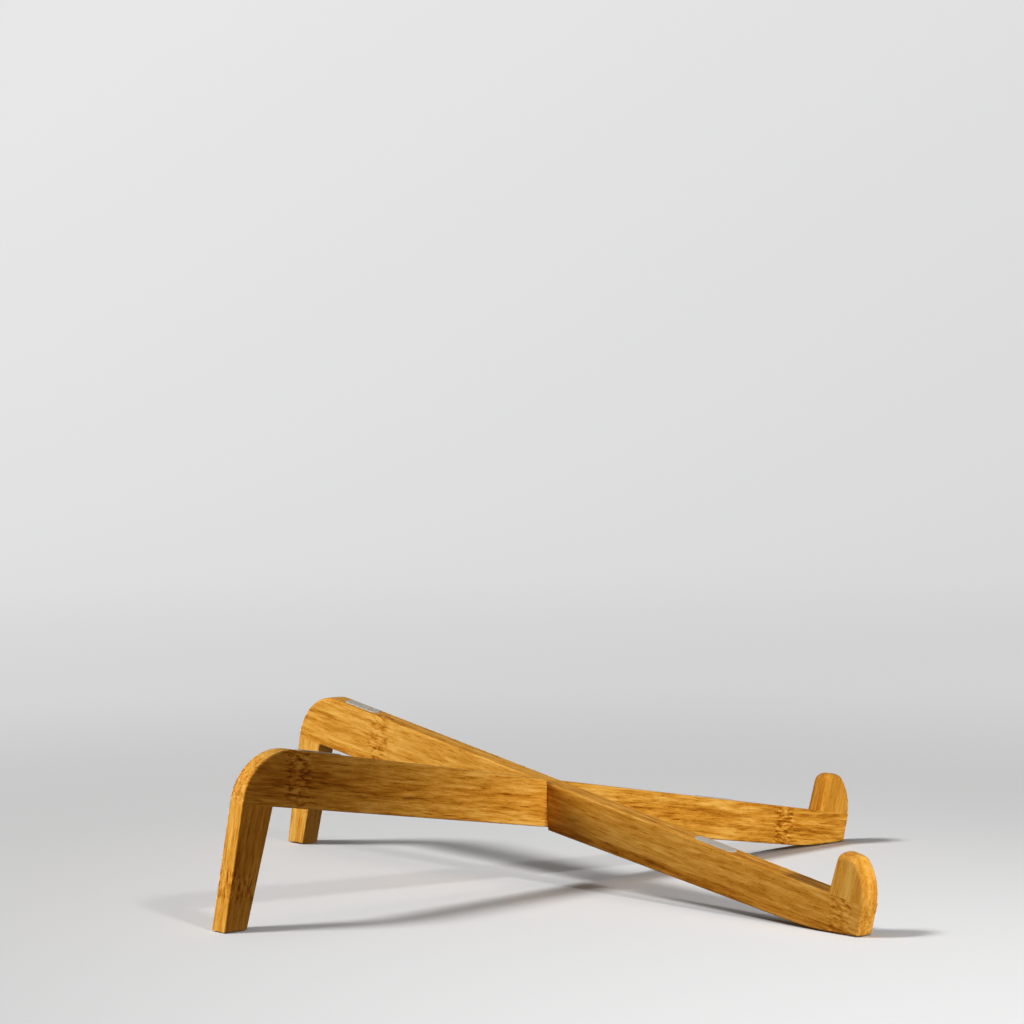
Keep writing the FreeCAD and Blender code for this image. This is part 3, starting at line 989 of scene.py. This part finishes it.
def studio_material(studio):
    """A matt pale floor that fades, away from the stand, into a backdrop of painted light with its own
    tone.
    """
    material = bpy.data.materials.new("studio_floor")
    material.use_nodes = True
    tree = material.node_tree
    tree.nodes.clear()
    place = Wire.node(tree, "ShaderNodeTexCoord", output="Object")
    parts = Wire.node(tree, "ShaderNodeSeparateXYZ", inputs={"Vector": place}).socket.node
    x, y, z = (Wire(parts.outputs[axis]) for axis in "XYZ")
    radius = (x * x + y * y).math("SQRT")
    lit = Wire.node(tree, "ShaderNodeBsdfDiffuse", inputs={"Color": (*studio.floor, 1)})
    # Painted light: the backdrop and the far floor glow instead of being lit.
    even = Wire.node(tree, "ShaderNodeEmission",
                     inputs={"Color": painted_backdrop_light(tree, studio, radius, z, x)})
    mixed = Wire.node(tree, "ShaderNodeMixShader",
                      inputs={0: radius.between(*STUDIO_FADE), 1: lit, 2: even})
    Wire.node(tree, "ShaderNodeOutputMaterial", inputs={"Surface": mixed})
    return material


def studio_shell(studio):
    """Floor, cove and wall as one surface: a profile (r, z) turned about Z.

    The profile is level from r = 0 to the floor's radius, then a quarter of an ellipse,
    r = floor + a sin t and z = b (1 - cos t), and then upright.
    """
    level = np.linspace(0, FLOOR_RADIUS, LEVEL_STEPS)
    t = np.linspace(0, math.pi / 2, COVE_STEPS + 1)[1:]
    cove = WALL_RADIUS - FLOOR_RADIUS
    r = np.concatenate([level, FLOOR_RADIUS + cove * np.sin(t), [WALL_RADIUS]])
    z = np.concatenate([0 * level, cove * (1 - np.cos(t)), [WALL_HEIGHT]])
    a = np.linspace(0, 2 * math.pi, STUDIO_STEPS, endpoint=False)
    points = np.stack([r[:, None] * np.cos(a), r[:, None] * np.sin(a), z[:, None] + 0 * a], 2)
    here = np.arange(STUDIO_STEPS)
    ahead = np.roll(here, -1)
    ring = np.arange(len(r) - 1)[:, None] * STUDIO_STEPS
    quads = np.stack([ring + here, ring + STUDIO_STEPS + here,
                      ring + STUDIO_STEPS + ahead, ring + ahead], 2).reshape(-1, 4)
    shell = new_mesh("studio_floor", (points.reshape(-1, 3), quads.tolist()), Matrix.Identity(4))
    shell.data.shade_smooth()
    shell.data.materials.append(studio_material(studio))
    shell.visible_diffuse = False
    shell.visible_glossy = False
    shell.visible_shadow = False
    return shell


def lit_group(name, chosen):
    """A collection of the chosen objects, for a light that shines on nothing else."""
    group = bpy.data.collections.new(name)
    for item in chosen:
        group.objects.link(item)
    return group


def aimed_light(name, kind, place, target, power, group=None, **settings):
    """A light at a place, turned towards a target, on everything or on one group of objects."""
    data = bpy.data.lights.new(name, kind)
    data.energy = power
    for key, value in settings.items():
        setattr(data, key, value)
    light = bpy.data.objects.new(name, data)
    light.location = place
    light.rotation_euler = (Vector(target) - Vector(place)).to_track_quat("-Z", "Y").to_euler()
    bpy.context.scene.collection.objects.link(light)
    if group is not None:
        light.light_linking.receiver_collection = group
    return light


def studio_air(studio):
    """The world: a weak even light all round."""
    world = bpy.data.worlds.new("studio_air")
    world.use_nodes = True
    background = next(n for n in world.node_tree.nodes if n.type == "BACKGROUND")
    background.inputs["Color"].default_value = AIR_TONE
    background.inputs["Strength"].default_value = studio.ambient
    return world


def studio_lights(studio, pieces, floor):
    """Lights for the stand, lights for its front pieces alone, and lights for the floor alone."""
    rear = box_middle("lower_leg")
    front = (box_middle("lower_hook") + box_middle("upper_hook")) / 2
    stand = lit_group("lit_stand", pieces)
    fronts = lit_group("lit_fronts", [item for item in pieces if "leg" not in item.name])
    ground = lit_group("lit_floor", [floor])
    key = aimed_light("key", "AREA", KEY_PLACE, rear, studio.key, stand, size=0.30)
    kicker = aimed_light("kicker", "SPOT", KICKER_PLACE, front, studio.kicker, fronts,
                         spot_size=math.radians(19), spot_blend=0.8, shadow_soft_size=0.06)
    aimed_light("window", "SUN", WINDOW_PLACE, CROSSING_TARGET, studio.window, ground,
                angle=math.radians(14))
    aimed_light("pool", "SPOT", POOL_PLACE, POOL_TARGET, studio.pool, ground,
                spot_size=math.radians(42), spot_blend=1.0, shadow_soft_size=0.08)
    bounce = aimed_light("bounce", "AREA", BOUNCE_PLACE, BOUNCE_TARGET, studio.bounce, stand,
                         size=0.9, color=studio.bounce_tone)
    for light in (key, kicker, bounce):
        light.visible_glossy = False
    aimed_light("overhead", "AREA", OVERHEAD_PLACE, CROSSING_TARGET, studio.overhead, size=1.2)


def studio_camera(studio):
    """The camera, low beside the stand and a little behind its middle."""
    data = bpy.data.cameras.new("camera")
    data.sensor_width = SENSOR_WIDTH
    data.lens = studio.lens
    camera = bpy.data.objects.new("camera", data)
    camera.location = CAMERA_PLACE
    camera.rotation_euler = Euler([math.radians(a) for a in CAMERA_TURN])
    bpy.context.scene.collection.objects.link(camera)
    return camera


class LAPTOPSTAND_OT_stage(bpy.types.Operator):
    """Set the studio: floor, backdrop, lights and camera"""

    bl_idname = "laptop_stand.stage"
    bl_label = "Studio"

    def execute(self, context):
        scene = context.scene
        studio = scene.stand_studio
        scene.view_settings.view_transform = "Standard"
        floor = studio_shell(studio)
        scene.world = studio_air(studio)
        pieces = [item for item in scene.objects if item.type == "MESH" and item is not floor]
        studio_lights(studio, pieces, floor)
        scene.camera = studio_camera(studio)
        return {"FINISHED"}


# ---------------------------------------------------------------- panel and running order

STEPS = (LAPTOPSTAND_OT_beams, LAPTOPSTAND_OT_legs, LAPTOPSTAND_OT_hooks, LAPTOPSTAND_OT_pads,
         LAPTOPSTAND_OT_dowels, LAPTOPSTAND_OT_stage)
GROUPS = {"stand_sizes": StandSizes, "stand_finishes": StandFinishes, "stand_studio": StandStudio}


class LAPTOPSTAND_PT_panel(bpy.types.Panel):
    """The stand's sizes, finishes and studio, and the steps that make it"""

    bl_idname = "LAPTOPSTAND_PT_panel"
    bl_label = "Laptop Stand"
    bl_space_type = "VIEW_3D"
    bl_region_type = "UI"
    bl_category = "Laptop Stand"

    def draw(self, context):
        for step in STEPS:
            self.layout.operator(step.bl_idname)
        for key, group in GROUPS.items():
            box = self.layout.box()
            for name in group.__annotations__:
                box.prop(getattr(context.scene, key), name)


def register():
    """Registers the settings, the steps and the panel."""
    for group in GROUPS.values():
        bpy.utils.register_class(group)
    for key, group in GROUPS.items():
        setattr(bpy.types.Scene, key, bpy.props.PointerProperty(type=group))
    for item in (*STEPS, LAPTOPSTAND_PT_panel):
        bpy.utils.register_class(item)


def unregister():
    """Takes away what register added."""
    for item in (LAPTOPSTAND_PT_panel, *reversed(STEPS)):
        bpy.utils.unregister_class(item)
    for key in GROUPS:
        delattr(bpy.types.Scene, key)
    for group in GROUPS.values():
        bpy.utils.unregister_class(group)


def main():
    """Makes the whole stand."""
    register()
    bpy.ops.laptop_stand.beams()
    bpy.ops.laptop_stand.legs()
    bpy.ops.laptop_stand.hooks()
    bpy.ops.laptop_stand.pads()
    bpy.ops.laptop_stand.dowels()
    bpy.ops.laptop_stand.stage()


if __name__ == "__main__":
    main()
